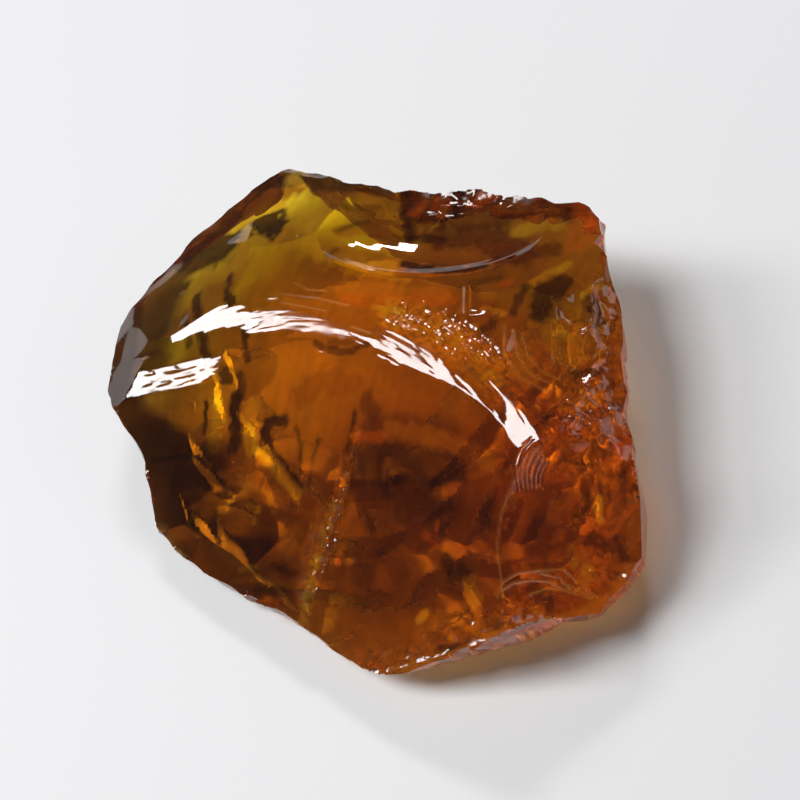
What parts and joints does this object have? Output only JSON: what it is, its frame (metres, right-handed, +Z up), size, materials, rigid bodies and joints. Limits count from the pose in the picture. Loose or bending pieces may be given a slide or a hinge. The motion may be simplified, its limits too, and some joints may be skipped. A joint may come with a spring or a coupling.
{
  "type": "rough topaz",
  "caption": "Palm-sized chunk of clear golden brown topaz, broken on every side into shell-shaped faces, lying on a flat face.",
  "frame": {"origin": "on the surface the stone lies on, below the middle of its outline", "axes": "+Z up from the flat face it lies on, +X along its longest side, +Y towards the back of the long hollow"},
  "size_m": [0.0442, 0.041, 0.0148],
  "materials": {
    "crystal": "clear, glossy fracture faces with a few sugary, sparkling patches"
  },
  "bodies": {
    "root": {"topaz": "crystal"}
  },
  "joints": []
}
